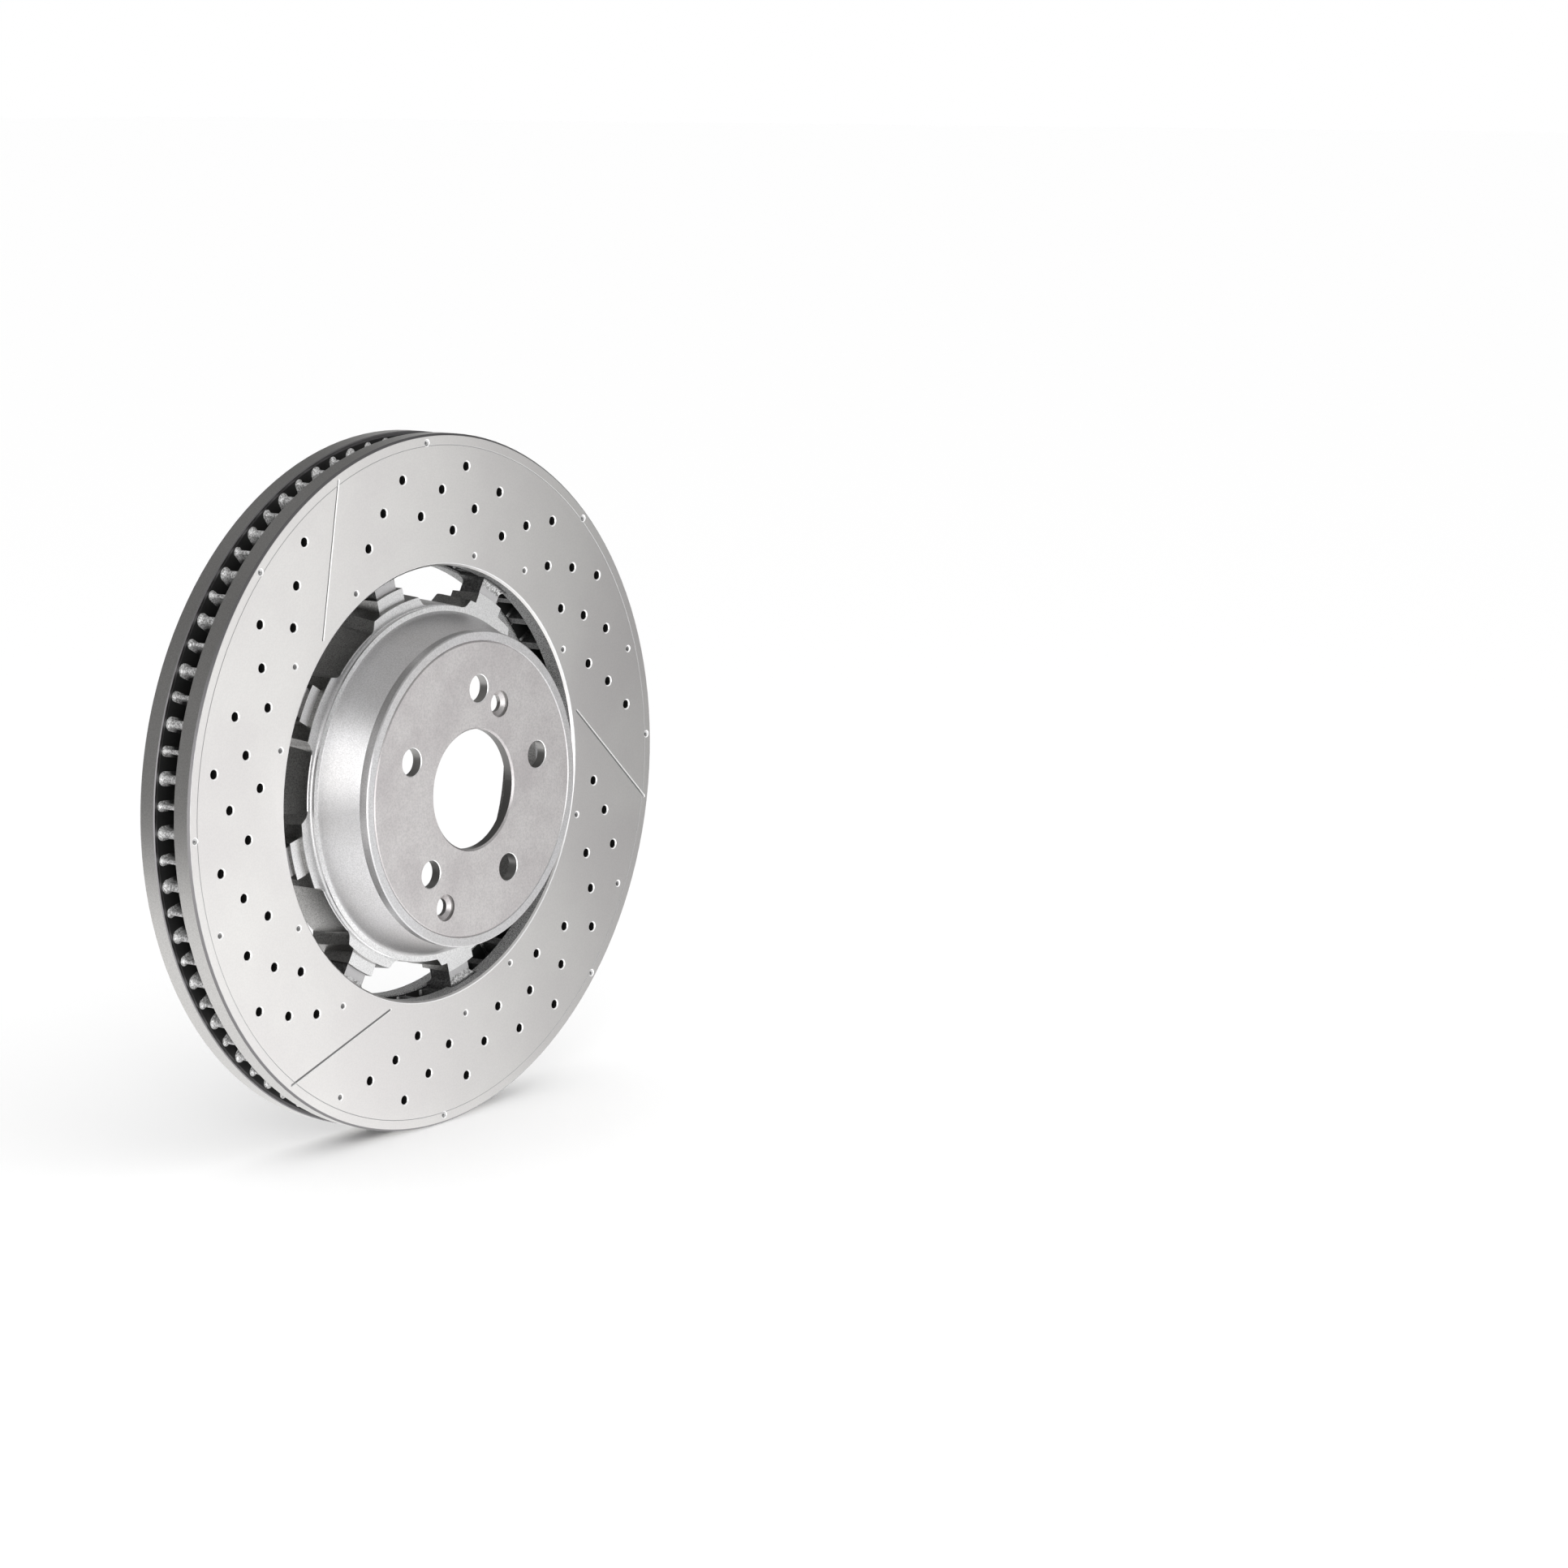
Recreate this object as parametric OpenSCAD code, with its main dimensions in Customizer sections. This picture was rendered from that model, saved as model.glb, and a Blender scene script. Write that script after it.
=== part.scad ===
// Two-piece ventilated brake disc: a cast iron friction ring carried by an aluminium bell.
// The disc stands upright. Its axis is Y, the bell face looks along -Y and +Z is up.
// The origin is on the axis, in the plane where the bell bears on the hub flange.
// Every sub-part is drawn lying flat with the bell face up, then stood up by upright().

/* [Friction ring] */
// Outer diameter of the friction ring
ring_d = 390; // [384:1:396]
// Overall thickness of the ring, both plates and the cooling gap
ring_t = 36; // [34:0.5:38]
// Thickness of each friction plate
plate_t = 11; // [10:0.1:12]
// Bore diameter of the friction ring
ring_bore = 244; // [242:0.5:246]
// Chamfer on the outer rims of the plates
ring_chamfer = 1.2; // [0.5:0.1:1.8]
// Chamfer on the bores of the plates
bore_chamfer = 1.4; // [0.5:0.1:1.8]
// Radius of the fine turned line near the rim
scribe_r = 188.7; // [187:0.1:190]

/* [Drilling and grooves] */
// Diameter of the drilled cooling holes
drill_d = 5; // [4.5:0.1:7]
// Chamfer at the mouth of each drilled hole
drill_chamfer = 0.65; // [0.2:0.05:0.8]
// Width of the three wiping grooves
groove_w = 1.8; // [1:0.1:2.5]
// Depth of the three wiping grooves
groove_depth = 0.8; // [0.3:0.1:0.8]
// Diameter of the small wear dimples
dimple_d = 4.4; // [3:0.1:5]
// Depth of the wear dimples
dimple_depth = 0.8; // [0.4:0.1:1.2]

/* [Cooling vanes] */
// Number of vane pairs, one long and one short vane in each pair
vane_pairs = 41; // [38:1:42]
// Thickness of a long vane
long_vane_t = 4.6; // [3:0.1:5]
// Thickness of a short vane
short_vane_t = 2.5; // [2:0.1:3.5]
// Radius of the fillet where a vane meets the plates
vane_fillet = 1.6; // [1:0.1:1.8]
// Gap between the vane ends and the outer rim
vane_recess = 2.6; // [1.5:0.1:4]

/* [Bell] */
// Height of the bell face above the outboard friction face
bell_h = 28; // [26:0.5:30]
// Thickness of the bell face
bell_t = 6; // [5:0.5:7]
// Diameter of the bell face
bell_d = 176; // [174:0.5:177]
// Diameter of the hub bore
hub_bore = 67; // [60:0.5:72]
// Bolt circle diameter
bolt_pcd = 112; // [108:1:120]
// Diameter of the wheel bolt holes
bolt_d = 15.4; // [14:0.1:16]
// Angle of the first bolt hole
bolt_phase = 12.6; // [0:0.1:30]

/* [Lugs] */
// Number of lugs that carry the friction ring
lugs = 8; // [6:1:10]
// Angle of the first lug
lug_phase = 14.25; // [0:0.05:30]
// Radius of the joint between the aluminium lugs and the iron teeth
joint_r = 112.5; // [111:0.1:114]
// Width of the iron teeth
tooth_w = 16.6; // [14:0.1:18]
// Width of the lug pads that the teeth grow out of
pad_w = 21.4; // [19:0.1:24]

/* [Hidden] */
$fn = 96;

iron_face = [0.80, 0.79, 0.77];
iron_cast = [0.45, 0.45, 0.45];
aluminium = [0.74, 0.74, 0.76];

ring_r = ring_d / 2;
bore_r = ring_bore / 2;
z_face = bell_t - bell_h;            // outboard friction face
z_back = z_face - ring_t;            // inboard friction face
z_gap_top = z_face - plate_t;        // the cooling gap lies between the two plates
z_gap_bottom = z_back + plate_t;
gap_h = z_gap_top - z_gap_bottom;

// The drilled strands: three holes each, three strand types in every 45 degrees.
strand_a = [35.2, 52.7, 69.7];
strand_r = [177.5, 173.0, 168.5];
hole_step_r = 13.5;
hole_step_a = 6.5;
strands = 24;
groove_strands = [5, 13, 21];        // these strands give way to a groove
groove_r = [191.0, 127.8];
groove_a = [[113.1, 134.5], [230.6, 251.4], [349.7, 371.4]];
// Rings of dimples: radius, first angle and the 45 degree sectors that carry one.
dimples = [[190.3, 0.9, [0, 1, 2, 3, 4, 6, 7]], [182.2, 17.9, [0, 4, 5, 7]],
           [137.0, 9.6, [1, 3, 5, 6]], [129.4, 28.9, [0, 1, 2, 3, 4, 6, 7]]];

long_vane_phase = 4.89;
vane_pitch = 360 / vane_pairs;
long_vane_r = 123.6;                 // where the long vanes start
short_vane_r = 146;                  // where the short vanes start

band_r = 82.3;                       // turned line between the bell face and its rim band
face_r = bell_d / 2;
pocket_r = 79.5;                     // inner mounting face of the bell
flange_z = z_face - 4;               // front of the flange and of the lug shoulders
flange_r = 100.3;
skirt_r = 102;                       // outer radius of the skirt at its open end
skirt_z = z_face - 31;
skirt_in_r = [93, 95.8];             // inner radii of the skirt, behind the flange and at its end
pocket_corner = [4, 3.8];            // taper between the inner mounting face and the wall
edge = 0.4;                          // broken edges of the flange and skirt
face_edge = 0.6;                     // the turned line where the face meets its rim band
cone_z = 0.3;                        // the conical wall starts behind a short straight band
cone_foot_r = 98.4;
wall_fillet = 1.8;

shoulder_r = [105.4, 108.2];         // drafted tip of a lug shoulder, at its front and its rear
shoulder_a = [9.3, 12.3];            // half angles at its tip and at the flange
shoulder_corner = [3, 5];            // radii of its convex corners and of its concave fillets
lug_root_r = 90;                     // the lugs are drawn from here and trimmed to the skirt
pad_z = [z_face - 7.2, z_face - 27];
tooth_z = [z_face - 9.7, z_face - 24];
tooth_fillet = 3.3;
root_r = 131;                        // the tooth roots reach this far into the cooling gap

scribe_w = 0.5;
scribe_depth = 0.1;
mouth = 1;                           // chamfer round the hub bore
dowel_at = [67.6, 247.8];            // radius and angle of the two small holes
screw_at = [50.4, 63.3];
small_hole_d = 9.6;
small_seat_d = 15;

// Stands a part up: the flat frame's +Z becomes -Y.
module upright() rotate([90, 0, 0]) children();

module at(r, a) rotate([0, 0, a]) translate([r, 0, 0]) children();

// A chamfered ring between two heights.
module plate_blank(z0, z1) {
    c = ring_chamfer;
    b = bore_chamfer;
    e = 0.5;                         // small chamfer on the vane side
    rotate_extrude()
        polygon([[bore_r, z0 + e], [bore_r + e, z0], [ring_r - e, z0], [ring_r, z0 + e],
                 [ring_r, z1 - c], [ring_r - c, z1], [bore_r + b, z1], [bore_r, z1 - b]]);
}

function is_groove(s) = len([for (g = groove_strands) if (g == s) g]) > 0;

// Places its children at every drilled hole.
module each_drilling()
    for (s = [0 : strands - 1]) if (!is_groove(s))
        for (k = [0 : 2])
            at(strand_r[s % 3] - k * hole_step_r,
               45 * floor(s / 3) + strand_a[s % 3] + k * hole_step_a) children();

// One through hole with a chamfered mouth at height z, cut downwards from the face.
module drilling(z, depth) {
    c = drill_chamfer;
    translate([0, 0, z - depth]) cylinder(d = drill_d, h = depth + 1);
    translate([0, 0, z - c]) cylinder(d1 = drill_d, d2 = drill_d + 2 * c, h = c);
    translate([0, 0, z]) cylinder(d = drill_d + 2 * c, h = 1);
}

function polar(r, a) = [r * cos(a), r * sin(a)];

// Radius of a round cutter that sinks to a depth where its cut is w wide.
function cap_radius(w, depth) = (w * w / 4 + depth * depth) / (2 * depth);

// Three straight grooves with a round bottom and round ends, sunk into a face at height z.
module grooves(z) {
    tool_r = cap_radius(groove_w, groove_depth);
    for (g = groove_a) {
        p = polar(groove_r[0], g[0]);
        run = polar(groove_r[1], g[1]) - p;
        translate([p[0], p[1], z + tool_r - groove_depth]) rotate([0, 90, atan2(run[1], run[0])]) {
            sphere(r = tool_r);
            cylinder(r = tool_r, h = norm(run));
            translate([0, 0, norm(run)]) sphere(r = tool_r);
        }
    }
}

// Shallow round dimples in a face at height z.
module dimple_cuts(z) {
    ball_r = cap_radius(dimple_d, dimple_depth);
    for (row = dimples) for (m = row[2])
        at(row[0], row[1] + 45 * m) translate([0, 0, z + ball_r - dimple_depth]) sphere(r = ball_r);
}

// The fine turned line on a face at height z, a shallow V.
module scribe_cut(z)
    rotate_extrude() translate([scribe_r, z])
        polygon([[-scribe_w / 2, 0], [0, -scribe_depth], [scribe_w / 2, 0], [0, 1]]);

// A friction plate with its rubbing face up at z and its vane side at z - plate_t.
module friction_plate(z)
    difference() {
        plate_blank(z - plate_t, z);
        each_drilling() drilling(z, plate_t + 1);
        grooves(z);
        dimple_cuts(z);
        scribe_cut(z);
    }

module outboard_plate() color(iron_face) upright() friction_plate(z_face);

module inboard_plate()
    color(iron_face) upright()
        translate([0, 0, z_face + z_back]) mirror([0, 0, 1]) friction_plate(z_face);

// Half of the section across a vane: a web that flares into both plates.
module vane_section(t) {
    f = vane_fillet;
    difference() {
        translate([0, z_gap_bottom]) square([t / 2 + f, gap_h]);
        translate([t / 2 + f, z_gap_bottom + f]) circle(r = f);
        translate([t / 2 + f, z_gap_top - f]) circle(r = f);
        translate([t / 2, z_gap_bottom + f]) square([f + 1, gap_h - 2 * f]);
    }
}

// One vane along +X with a round outer end.
module vane(t, r0) {
    r1 = ring_r - vane_recess - t / 2 - vane_fillet;
    translate([r1, 0, 0]) rotate_extrude(angle = 180, start = -90) vane_section(t);
    translate([r0, 0, 0]) rotate([90, 0, 90]) linear_extrude(height = r1 - r0) {
        vane_section(t);
        mirror([1, 0]) vane_section(t);
    }
}

// The roots of the iron teeth and the drilled holes are cut out of the vanes.
module vane_cuts() {
    each_drilling() translate([0, 0, z_gap_bottom - 1]) cylinder(d = drill_d, h = gap_h + 2);
    each_lug() translate([0, 0, z_gap_bottom - 1])
        linear_extrude(height = gap_h + 2) tooth_plan();
}

module long_vanes()
    color(iron_cast) upright() difference() {
        for (i = [0 : vane_pairs - 1])
            rotate([0, 0, long_vane_phase + i * vane_pitch]) vane(long_vane_t, long_vane_r);
        vane_cuts();
    }

module short_vanes()
    color(iron_cast) upright() difference() {
        for (i = [0 : vane_pairs - 1])
            rotate([0, 0, long_vane_phase + (i + 0.5) * vane_pitch])
                vane(short_vane_t, short_vane_r);
        vane_cuts();
    }

module each_lug()
    for (i = [0 : lugs - 1]) rotate([0, 0, lug_phase + i * 360 / lugs]) children();

// Plan of an iron tooth: straight flanks, concave fillets at the bore and a root in the gap.
module tooth_plan() {
    hw = tooth_w / 2;
    f = tooth_fillet;
    cy = hw + f;
    cx = sqrt(pow(bore_r - f, 2) - cy * cy);
    t = [cx, cy] * bore_r / (bore_r - f);        // where a fillet runs into the bore
    difference() {
        union() {
            translate([joint_r - 2, -hw]) square([cx - joint_r + 3, tooth_w]);
            polygon([[cx, -cy], [t[0], -t[1]], [root_r, -t[1]], [root_r, t[1]], t, [cx, cy]]);
        }
        circle(r = joint_r);
        for (s = [-1, 1]) translate([cx, s * cy]) circle(r = f);
    }
}

// Radial section of the tooth ring: fillets up to both plate bores, a root in the gap.
module tooth_section() {
    f = tooth_fillet;
    h = tooth_z[0] - tooth_z[1];
    translate([joint_r - 1, tooth_z[1]]) square([bore_r - joint_r + 1, h]);
    difference() {
        translate([bore_r - f, tooth_z[1] - f]) square([f, h + 2 * f]);
        for (z = [tooth_z[0] + f, tooth_z[1] - f]) translate([bore_r - f, z]) circle(r = f);
    }
    polygon([[bore_r - 1, tooth_z[1] + 1], [bore_r, z_gap_bottom], [root_r, z_gap_bottom],
             [root_r, z_gap_top], [bore_r - 1, z_gap_top]]);
}

module drive_teeth()
    color(iron_cast) upright() intersection() {
        each_lug() translate([0, 0, z_back]) linear_extrude(height = ring_t) tooth_plan();
        rotate_extrude() tooth_section();
    }

// A straight hole through the bell face with a chamfered mouth.
module face_hole(d, c) {
    translate([0, 0, -1]) cylinder(d = d, h = bell_t + 2);
    translate([0, 0, bell_t - c]) cylinder(d1 = d, d2 = d + 2 * c, h = c);
    translate([0, 0, bell_t]) cylinder(d = d + 2 * c, h = 1);
}

// A small hole with a straight counterbore and a conical seat.
module seated_hole() {
    wall = 1.7;
    cone = 1.9;
    translate([0, 0, -1]) cylinder(d = small_hole_d, h = bell_t + 2);
    translate([0, 0, bell_t - wall - cone])
        cylinder(d1 = small_hole_d, d2 = small_seat_d - 1.4, h = cone);
    translate([0, 0, bell_t - wall]) cylinder(d = small_seat_d, h = wall + 1);
}

module bell_face()
    color(aluminium) upright() difference() {
        rotate_extrude()
            polygon([[hub_bore / 2, 0], [pocket_r, 0], band_foot,
                     [band_r, bell_t - face_edge], [band_r - face_edge, bell_t],
                     [hub_bore / 2 + mouth, bell_t], [hub_bore / 2, bell_t - mouth]]);
        for (i = [0 : 4]) at(bolt_pcd / 2, bolt_phase + 72 * i) face_hole(bolt_d, 0.4);
        at(dowel_at[0], dowel_at[1]) seated_hole();
        at(screw_at[0], screw_at[1]) seated_hole();
    }

// The face and the wall part along a cone, from the back of the face up to this corner.
band_drop = 0.2;                     // the rim band lies just below the face
band_foot = [band_r, bell_t - face_edge - band_drop];

// Outer radius of the skirt at height z.
function skirt_at(z) = flange_r + (skirt_r - flange_r) * (flange_z - z) / (flange_z - skirt_z);

// Outer edge of the flange and the skirt, from the front down to the open end.
skirt_line = [[flange_r - edge, flange_z], [skirt_at(flange_z - edge), flange_z - edge],
              [skirt_at(skirt_z + edge), skirt_z + edge], [skirt_r - edge, skirt_z]];

// Section of the bell wall: rim band, straight edge, cone, flange and open skirt.
module wall_section() {
    band_z = bell_t - band_drop;
    slope = (cone_foot_r - face_r) / (cone_z - flange_z);
    foot = face_r + slope * (cone_z - flange_z - wall_fillet)
           + wall_fillet * sqrt(1 + slope * slope);
    over = 4;                        // the fillet is cut from a block this tall
    difference() {
        polygon(concat([band_foot, [band_r + face_edge, band_z], [face_r - face_edge, band_z],
                        [face_r, band_z - face_edge], [face_r, cone_z],
                        [face_r + slope * (cone_z - flange_z - over), flange_z + over],
                        [foot, flange_z + over], [foot, flange_z]],
                       skirt_line,
                       [[skirt_in_r[1], skirt_z], [skirt_in_r[0], flange_z - 1],
                        [pocket_r + pocket_corner[0], -pocket_corner[1]], [pocket_r, 0]]));
        translate([foot, flange_z + wall_fillet]) circle(r = wall_fillet);
    }
}

module bell_wall() color(aluminium) upright() rotate_extrude() wall_section();

// Plan of the wide lug shoulder, with round corners and concave fillets at the skirt.
module shoulder_plan() {
    tip = shoulder_r[1];
    rc = shoulder_corner[0];
    rf = shoulder_corner[1];
    a = polar(tip, shoulder_a[0]);
    b = polar(flange_r, shoulder_a[1]);
    d = (b - a) / norm(b - a);
    n = [d[1], -d[0]];
    kc = n * a - rc;
    c = n * kc - d * sqrt(pow(tip - rc, 2) - kc * kc);
    kf = n * b + rf;
    f = n * kf - d * sqrt(pow(flange_r + rf, 2) - kf * kf);
    ft = f * flange_r / (flange_r + rf);
    for (s = [0, 1]) mirror([0, s]) {
        difference() {
            intersection() {
                circle(r = tip);
                polygon([[lug_root_r, 0], [tip + 10, 0], a + (a - b), b, b * 0.95]);
            }
            difference() {
                polygon([c + n * rc, a + (a - c), c * tip / (tip - rc), c]);
                translate(c) circle(r = rc);
            }
        }
        difference() {
            polygon([f - n * rf, b * 0.96, ft * 0.96, ft, f]);
            translate(f) circle(r = rf);
        }
    }
}

// All the lug shoulders, their tips drafted outwards from the flange to the rear.
module shoulders() {
    h = flange_z - skirt_z;
    translate([0, 0, skirt_z]) intersection() {
        each_lug() linear_extrude(height = h) shoulder_plan();
        cylinder(r1 = shoulder_r[1], r2 = shoulder_r[0], h = h);
    }
}

// Plan of the narrower pad that reaches out to the iron tooth.
module pad_plan()
    intersection() {
        circle(r = joint_r);
        translate([lug_root_r, -pad_w / 2]) square([joint_r - lug_root_r + 1, pad_w]);
    }

module bell_lugs()
    color(aluminium) upright() difference() {
        union() {
            shoulders();
            each_lug() translate([0, 0, pad_z[1]])
                linear_extrude(height = pad_z[0] - pad_z[1]) pad_plan();
        }
        rotate_extrude()
            polygon(concat([[0, flange_z + 1], [flange_r - edge, flange_z + 1]], skirt_line,
                           [[skirt_r - edge, skirt_z - 1], [0, skirt_z - 1]]));
    }

outboard_plate();
inboard_plate();
long_vanes();
short_vanes();
drive_teeth();
bell_face();
bell_wall();
bell_lugs();
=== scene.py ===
import math

import bpy
from mathutils import Matrix, Vector


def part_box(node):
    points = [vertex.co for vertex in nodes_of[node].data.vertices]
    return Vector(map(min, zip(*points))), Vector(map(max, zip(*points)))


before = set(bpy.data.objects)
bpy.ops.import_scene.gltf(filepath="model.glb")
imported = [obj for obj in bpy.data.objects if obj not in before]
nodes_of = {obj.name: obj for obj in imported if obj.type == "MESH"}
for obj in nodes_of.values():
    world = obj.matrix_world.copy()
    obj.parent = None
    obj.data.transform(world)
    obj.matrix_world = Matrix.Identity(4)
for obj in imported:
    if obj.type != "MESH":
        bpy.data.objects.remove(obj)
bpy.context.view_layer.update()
scene = bpy.context.scene
scene.view_settings.view_transform = "Standard"

FLOOR_Z = -0.195
FLOOR_SIZE = 30
MM = 1000

# Heights along Y in millimetres: both rubbing faces, the front of the lugs, the front of the bell.
FACES = (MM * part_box("outboard_plate")[0][1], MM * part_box("inboard_plate")[1][1])
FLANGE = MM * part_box("bell_lugs")[0][1]
WHEEL_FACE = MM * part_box("bell_face")[0][1]

# What the eye and matt surfaces see, and the plain walls that polished surfaces see.
BACKDROP = 1.0
WALLS = 0.27
# Soft boxes in reflections: direction, degrees where it has faded out, degrees of its core, level.
BOXES = [((0.70, 0.70, -0.20), 60, 20, 0.75),
         ((-0.60, 0.75, 0.20), 60, 25, 0.16),
         ((0.20, 0.65, 0.75), 50, 25, 0.10),
         ((0.00, -0.15, 1.00), 55, 25, 0.52),
         ((-0.94, -0.14, 0.30), 30, 14, 2.1),
         ((-0.60, -0.79, -0.15), 34, 14, 2.6)]
# The bright floor in reflections, for rays that point down more steeply than these two heights.
FLOOR_GLOW = 1.3
GLOW_FROM, GLOW_FULL = -0.26, -0.42


# ---------------------------------------------------------------- camera
def make_camera():
    """A long lens in front of the bell, to its left and a little above."""
    cam = bpy.data.cameras.new("camera")
    cam.lens = 93.17
    cam.sensor_width = 36
    cam.clip_end = 50
    ob = bpy.data.objects.new("camera", cam)
    scene.collection.objects.link(ob)
    forward = Vector((0.79578, 0.57950, -0.17547)).normalized()
    right = Vector((0.58866, -0.80836, 0)).normalized()
    up = right.cross(forward)
    m = Matrix((right, up, -forward)).transposed().to_4x4()
    m.translation = Vector((-1.6836, -1.4438, 0.3965))
    ob.matrix_world = m
    scene.camera = ob


# ---------------------------------------------------------------- node helpers
class Tree:
    """Builds a node tree with short calls."""

    def __init__(self, tree):
        self.t = tree
        tree.nodes.clear()

    def add(self, kind, inputs=None, **props):
        n = self.t.nodes.new(kind)
        for k, v in props.items():
            setattr(n, k, v)
        for k, v in (inputs or {}).items():
            self.put(n.inputs[k], v)
        return n

    def put(self, socket, v):
        if isinstance(v, bpy.types.NodeSocket):
            self.t.links.new(v, socket)
        elif v is not None:
            socket.default_value = v

    def math(self, op, a, b=None, c=None, clamp=False):
        n = self.add("ShaderNodeMath", operation=op, use_clamp=clamp)
        for i, v in enumerate((a, b, c)):
            self.put(n.inputs[i], v)
        return n.outputs[0]

    def mul(self, a, b):
        return self.math("MULTIPLY", a, b)

    def plus(self, a, b):
        return self.math("ADD", a, b)

    def step(self, v, lo, hi):
        """0 where v is at lo, 1 where it is at hi, smooth between them."""
        n = self.add("ShaderNodeMapRange", interpolation_type="SMOOTHSTEP")
        for k, x in (("Value", v), ("From Min", lo), ("From Max", hi)):
            self.put(n.inputs[k], x)
        return n.outputs[0]

    def mix(self, f, a, b):
        n = self.add("ShaderNodeMix", data_type="RGBA")
        self.put(n.inputs[0], f)
        self.put(n.inputs[6], a)
        self.put(n.inputs[7], b)
        return n.outputs[2]

    def mixf(self, f, a, b):
        n = self.add("ShaderNodeMix", data_type="FLOAT")
        self.put(n.inputs[0], f)
        self.put(n.inputs[2], a)
        self.put(n.inputs[3], b)
        return n.outputs[0]

    def noise(self, vec, scale, detail=4, rough=0.55):
        return self.add("ShaderNodeTexNoise", {"Vector": vec, "Scale": scale, "Detail": detail,
                                               "Roughness": rough}).outputs[0]

    def xyz(self, v):
        n = self.add("ShaderNodeSeparateXYZ", {"Vector": v})
        return n.outputs[0], n.outputs[1], n.outputs[2]

    def vec(self, x, y, z):
        return self.add("ShaderNodeCombineXYZ", {"X": x, "Y": y, "Z": z}).outputs[0]


class Metal(Tree):
    """A metal material with the disc's own cylindrical coordinates in millimetres."""

    def __init__(self, name):
        self.mat = bpy.data.materials.new(name)
        self.mat.use_nodes = True
        super().__init__(self.mat.node_tree)
        co = self.add("ShaderNodeTexCoord").outputs["Object"]
        self.p = self.add("ShaderNodeVectorMath", {0: co, 1: (MM, MM, MM)}, operation="MULTIPLY").outputs[0]
        x, self.y, z = self.xyz(self.p)
        self.r = self.math("SQRT", self.plus(self.mul(x, x), self.mul(z, z)))
        self.angle = self.math("ARCTAN2", z, x)
        normal = self.xyz(self.add("ShaderNodeNewGeometry").outputs["True Normal"])
        # 1 on surfaces square to the axis, 0 on surfaces along it.
        self.tilt = self.math("ABSOLUTE", normal[1])

    def near_faces(self, depth):
        """1 within a depth of either rubbing face, 0 further in."""
        front, back = FACES
        a = self.step(self.y, front + depth + 0.3, front + depth)
        b = self.step(self.y, back - depth - 0.3, back - depth)
        return self.math("MAXIMUM", a, b)

    def ring_lines(self, pitch):
        """Fine lines that run round the axis, as a turning or grinding tool leaves them."""
        v = self.vec(self.mul(self.r, 1 / pitch), self.mul(self.angle, 3.0), self.mul(self.y, 1 / pitch))
        return self.noise(v, 1.0, 2, 0.6)

    def finish(self, color, rough, height, strength, distance, metallic=1.0):
        bump = self.add("ShaderNodeBump", {"Strength": strength, "Distance": distance, "Height": height})
        bsdf = self.add("ShaderNodeBsdfPrincipled", {"Base Color": color, "Roughness": rough,
                                                     "Metallic": metallic, "Normal": bump.outputs[0]})
        out = self.add("ShaderNodeOutputMaterial")
        self.put(out.inputs[0], bsdf.outputs[0])
        return self.mat


def grey(v, tint=(1, 1, 1)):
    """A grey of linear brightness v, with a slight tint."""
    return (v * tint[0], v * tint[1], v * tint[2], 1)


WARM = (1, 0.985, 0.965)
ROSE = (1, 0.965, 0.96)
LILAC = (1, 0.975, 1.0)


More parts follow.
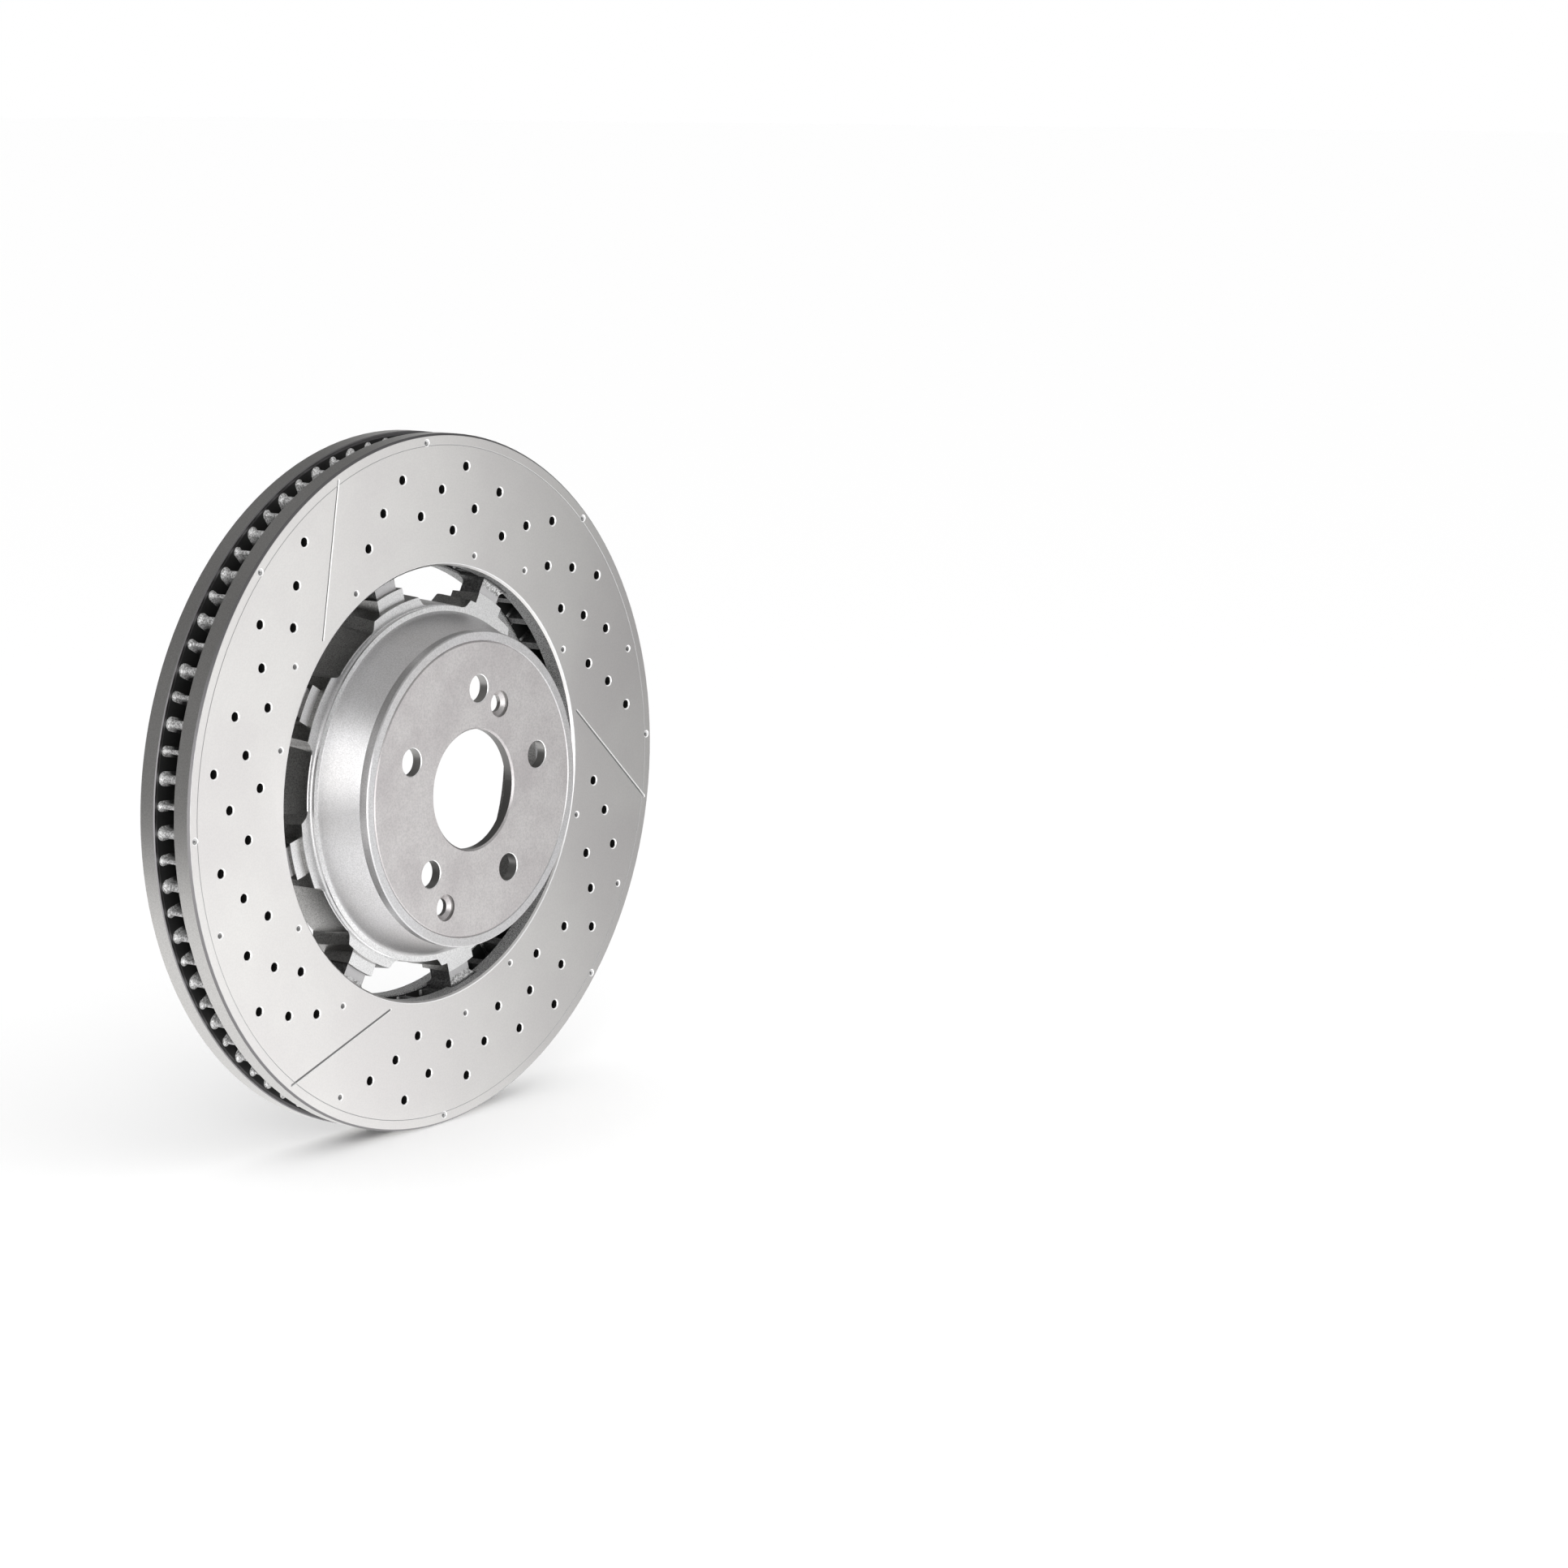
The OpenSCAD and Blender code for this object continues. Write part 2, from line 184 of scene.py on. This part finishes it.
# ---------------------------------------------------------------- materials
def ground_iron():
    """Ground rubbing faces, dull rims and speckled cast bores, with painted shade in the holes, cooling
    gap, grooves and dimples and a painted highlight on hollow edges.
    """
    m = Metal("ground_iron")
    # Masks: the ground faces with the mouths of their holes, and the turned rims outside them.
    edges = m.near_faces(0.3)
    machined = m.math("MAXIMUM", m.mul(m.step(m.tilt, 0.35, 0.6), m.near_faces(1.5)), edges)
    machined = m.mul(machined, m.step(m.r, 194.0, 193.6))
    turned = m.step(m.r, 192.5, 193.2)
    lines = m.ring_lines(0.5)
    cloud = m.noise(m.p, 0.012, 3)
    grain = m.noise(m.p, 0.9, 3, 0.7)
    speck = m.noise(m.p, 1.4, 4, 0.75)
    ground = m.mix(m.step(cloud, 0.3, 0.7), grey(0.83, WARM), grey(0.77, (1, 0.975, 0.965)))
    ground = m.mix(m.mul(m.plus(lines, m.step(grain, 0.4, 0.6)), 0.07), ground, grey(0.40))
    # Painted shade in the deep parts of the grooves and dimples, a painted highlight on the edges round
    # every hollow, and the scribed ring.
    pit_shade = m.mul(m.step(edges, 0.6, 0.2), m.step(m.tilt, 0.72, 0.80))
    ground = m.mix(pit_shade, ground, grey(0.18))
    # Painted highlight: the edges round every hollow are near white and less metallic.
    lip_highlight = m.mul(edges, m.step(m.tilt, 0.90, 0.80))
    ground = m.mix(lip_highlight, ground, grey(0.92))
    scribe = m.mul(m.step(m.tilt, 0.985, 0.96), m.step(m.tilt, 0.86, 0.90))
    scribe = m.mul(scribe, m.step(m.r, 187.6, 188.2))
    ground = m.mix(scribe, ground, grey(0.46))
    rim = m.mix(m.step(speck, 0.3, 0.75), grey(0.44, WARM), grey(0.60, WARM))
    edge = m.mixf(m.near_faces(2.0), 0.24, 0.20)
    rim = m.mix(m.step(m.tilt, 0.35, 0.6), rim, m.vec(edge, m.mul(edge, 0.975), edge))
    sand = m.step(m.noise(m.p, 2.2, 3, 0.7), 0.35, 0.65)
    bore = m.mix(sand, grey(0.05), grey(0.60))
    # Painted shade: the drilled holes and the cooling gap are near black.
    hole_shade = m.mix(speck, grey(0.008), grey(0.025))
    vent_shade = m.mix(speck, grey(0.01), grey(0.035))
    inside = m.mix(m.step(m.r, 122.9, 123.1), bore, m.mix(m.step(m.tilt, 0.4, 0.6), hole_shade, vent_shade))
    color = m.mix(machined, m.mix(turned, inside, rim), ground)
    rough = m.mixf(machined, m.mixf(turned, 0.6, 0.42), m.mixf(lines, 0.28, 0.36))
    height = m.mixf(machined, m.mul(speck, 3), m.plus(lines, m.mul(grain, 0.5)))
    metal = m.math("MAXIMUM", m.mixf(lip_highlight, machined, 0.2), m.mixf(turned, m.mixf(lip_highlight, 0.5, 0.2), 1.0))
    return m.finish(color, rough, height, 0.25, 0.00005, metal)


def cast_iron():
    """Raw cast iron, bright and sandy at the vane ends and the teeth; painted shade darkens it in the
    cooling gap and on the inner flanks, and a painted highlight lifts the vane heads.
    """
    m = Metal("cast_iron")
    speck = m.noise(m.p, 0.9, 4, 0.8)
    sand = m.noise(m.p, 2.0, 2, 0.6)
    ends = m.math("MAXIMUM", m.step(m.r, 183, 188), m.step(m.r, 128, 123))
    tooth = m.step(m.r, 117, 118.5)
    # Painted highlight: the vane heads by the rear plate are lighter.
    head_highlight = m.step(m.y, 42.5, 44.5)
    bright = m.mix(m.step(speck, 0.38, 0.60), m.mix(head_highlight, grey(0.16, WARM), grey(0.30, WARM)),
                   m.mix(head_highlight, grey(0.75), grey(1.0)))
    smooth = m.mix(speck, grey(0.50, LILAC), grey(0.62))
    bright = m.mix(tooth, smooth, bright)
    # Painted shade: near black inside the cooling gap.
    gap_shade = m.mix(m.step(speck, 0.4, 0.6), grey(0.008), grey(0.05))
    flank = m.mul(m.step(m.tilt, 0.6, 0.4), m.step(m.r, 160, 150))
    shade = m.mix(m.step(speck, 0.4, 0.6), grey(0.03), grey(0.12))
    color = m.mix(ends, gap_shade, m.mix(flank, bright, shade))
    return m.finish(color, 0.42, m.plus(speck, sand), 0.7, 0.0003, m.mul(ends, 0.5))


def turned_aluminium():
    """The turned face of the bell, with a painted highlight on the mouths of its holes and painted shade on
    their walls.
    """
    m = Metal("turned_aluminium")
    lines = m.ring_lines(0.4)
    cloud = m.noise(m.p, 0.035, 6, 0.65)
    grain = m.noise(m.p, 0.8, 4, 0.75)
    flat = m.step(m.tilt, 0.3, 0.6)
    color = m.mix(m.step(cloud, 0.35, 0.7), grey(0.67, ROSE), grey(0.575, (1, 0.95, 0.955)))
    color = m.mix(m.mul(m.step(grain, 0.38, 0.66), 0.32), color, grey(0.32))
    # Painted highlight: the chamfered mouths of the holes are near white.
    mouth_highlight = m.mul(m.mul(flat, m.step(m.tilt, 0.95, 0.85)), m.mul(m.step(m.r, 40, 42), m.step(m.r, 76, 74)))
    mouth_highlight = m.mul(mouth_highlight, m.step(m.y, WHEEL_FACE + 0.8, WHEEL_FACE + 0.4))
    color = m.mix(mouth_highlight, color, grey(0.97))
    # Painted shade: the walls of the holes are darker, darkest in the hub bore.
    wall_shade = m.mix(m.step(m.r, 36, 38), grey(0.20, WARM), grey(0.34, WARM))
    color = m.mix(flat, wall_shade, color)
    height = m.plus(lines, m.mul(grain, 0.7))
    return m.finish(color, m.mixf(lines, 0.34, 0.48), height, 0.2, 0.00008)


def blasted_aluminium():
    """The grainy cone, the brighter front of flange and lugs, and the raw cast skirt behind it, darkened as
    painted shade.
    """
    m = Metal("blasted_aluminium")
    grain = m.noise(m.p, 1.3, 3, 0.75)
    fine = m.noise(m.p, 3.0, 2, 0.6)
    cloud = m.noise(m.p, 0.02, 3)
    color = m.mix(m.step(cloud, 0.3, 0.7), grey(0.74, (0.99, 0.985, 1.0)), grey(0.67, (1, 0.985, 0.985)))
    front = m.mul(m.step(m.tilt, 0.85, 0.95), m.step(m.y, 20, 22))
    color = m.mix(front, color, grey(0.93))
    color = m.mix(m.mul(m.step(grain, 0.36, 0.66), 0.40), color, grey(0.34))
    # The raw cast skirt behind the flange, its sandy grey darkened further as painted shade.
    raw_cast_and_shade = m.mul(m.step(m.y, FLANGE + 0.3, FLANGE + 0.7), m.step(m.tilt, 0.6, 0.4))
    sandy_and_shade = m.mix(m.step(grain, 0.3, 0.7), grey(0.18, WARM), grey(0.42, WARM))
    color = m.mix(raw_cast_and_shade, color, sandy_and_shade)
    return m.finish(color, m.mixf(grain, 0.28, 0.42), m.plus(grain, fine), 0.35, 0.00012)


# ---------------------------------------------------------------- studio
def area(name, at, look, size, watts, glossy):
    """A soft box, which polished surfaces mirror only if glossy is true."""
    d = bpy.data.lights.new(name, "AREA")
    d.shape = "RECTANGLE"
    d.size, d.size_y = size
    d.energy = watts
    ob = bpy.data.objects.new(name, d)
    ob.location = at
    ob.rotation_euler = (Vector(look) - Vector(at)).to_track_quat("-Z", "Y").to_euler()
    scene.collection.objects.link(ob)
    ob.visible_camera = False
    ob.visible_glossy = glossy
    return ob


def make_world():
    """White for the eye and for matt surfaces; soft boxes and dark wings for reflections."""
    w = bpy.data.worlds.new("studio")
    scene.world = w
    w.use_nodes = True
    t = Tree(w.node_tree)
    way = t.add("ShaderNodeTexCoord").outputs["Generated"]
    z = t.xyz(way)[2]

    def lobe(direction, wide, core):
        """1 within core degrees of a direction, fading to 0 at wide degrees."""
        toward = Vector(direction).normalized()
        dot = t.add("ShaderNodeVectorMath", {0: way, 1: toward}, operation="DOT_PRODUCT").outputs["Value"]
        return t.step(dot, math.cos(math.radians(wide)), math.cos(math.radians(core)))

    v = WALLS
    for direction, wide, core, level in BOXES:
        v = t.mixf(lobe(direction, wide, core), v, level)
    v = t.mixf(t.step(z, GLOW_FROM, GLOW_FULL), v, FLOOR_GLOW)
    path = t.add("ShaderNodeLightPath")
    v = t.mixf(path.outputs["Is Glossy Ray"], BACKDROP, v)
    bg = t.add("ShaderNodeBackground", {"Color": v, "Strength": 1.0})
    out = t.add("ShaderNodeOutputWorld")
    t.put(out.inputs[0], bg.outputs[0])


def make_floor():
    """A plain white floor that shows contact shadows."""
    mesh = bpy.data.meshes.new("floor")
    s = FLOOR_SIZE
    corners = [(-s, -s, FLOOR_Z), (s, -s, FLOOR_Z), (s, s, FLOOR_Z), (-s, s, FLOOR_Z)]
    mesh.from_pydata(corners, [], [(0, 1, 2, 3)])
    ob = bpy.data.objects.new("floor", mesh)
    scene.collection.objects.link(ob)
    mat = bpy.data.materials.new("floor")
    mat.use_nodes = True
    b = mat.node_tree.nodes["Principled BSDF"]
    b.inputs["Base Color"].default_value = grey(0.99)
    b.inputs["Roughness"].default_value = 1.0
    b.inputs["Specular IOR Level"].default_value = 0.0
    mesh.materials.append(mat)
    ob.visible_glossy = False
    ob.visible_shadow = False


make_camera()
make_world()
make_floor()
area("key_box", (-1.3, -0.9, 0.6), (0, 0, 0), (0.7, 0.7), 6, False)
area("face_box", (0.272, -0.594, -0.10), (0.0, 0.0, -0.10), (0.68, 1.2), 1.95, True)

finishes = {"ground_iron": ground_iron(), "cast_iron": cast_iron(),
            "turned_aluminium": turned_aluminium(), "blasted_aluminium": blasted_aluminium()}
dress = {"outboard_plate": "ground_iron", "inboard_plate": "ground_iron", "long_vanes": "cast_iron",
         "short_vanes": "cast_iron", "drive_teeth": "cast_iron", "bell_face": "turned_aluminium",
         "bell_wall": "blasted_aluminium", "bell_lugs": "blasted_aluminium"}
for name, finish in dress.items():
    ob = nodes_of[name]
    ob.data.materials.clear()
    ob.data.materials.append(finishes[finish])

bpy.context.view_layer.update()
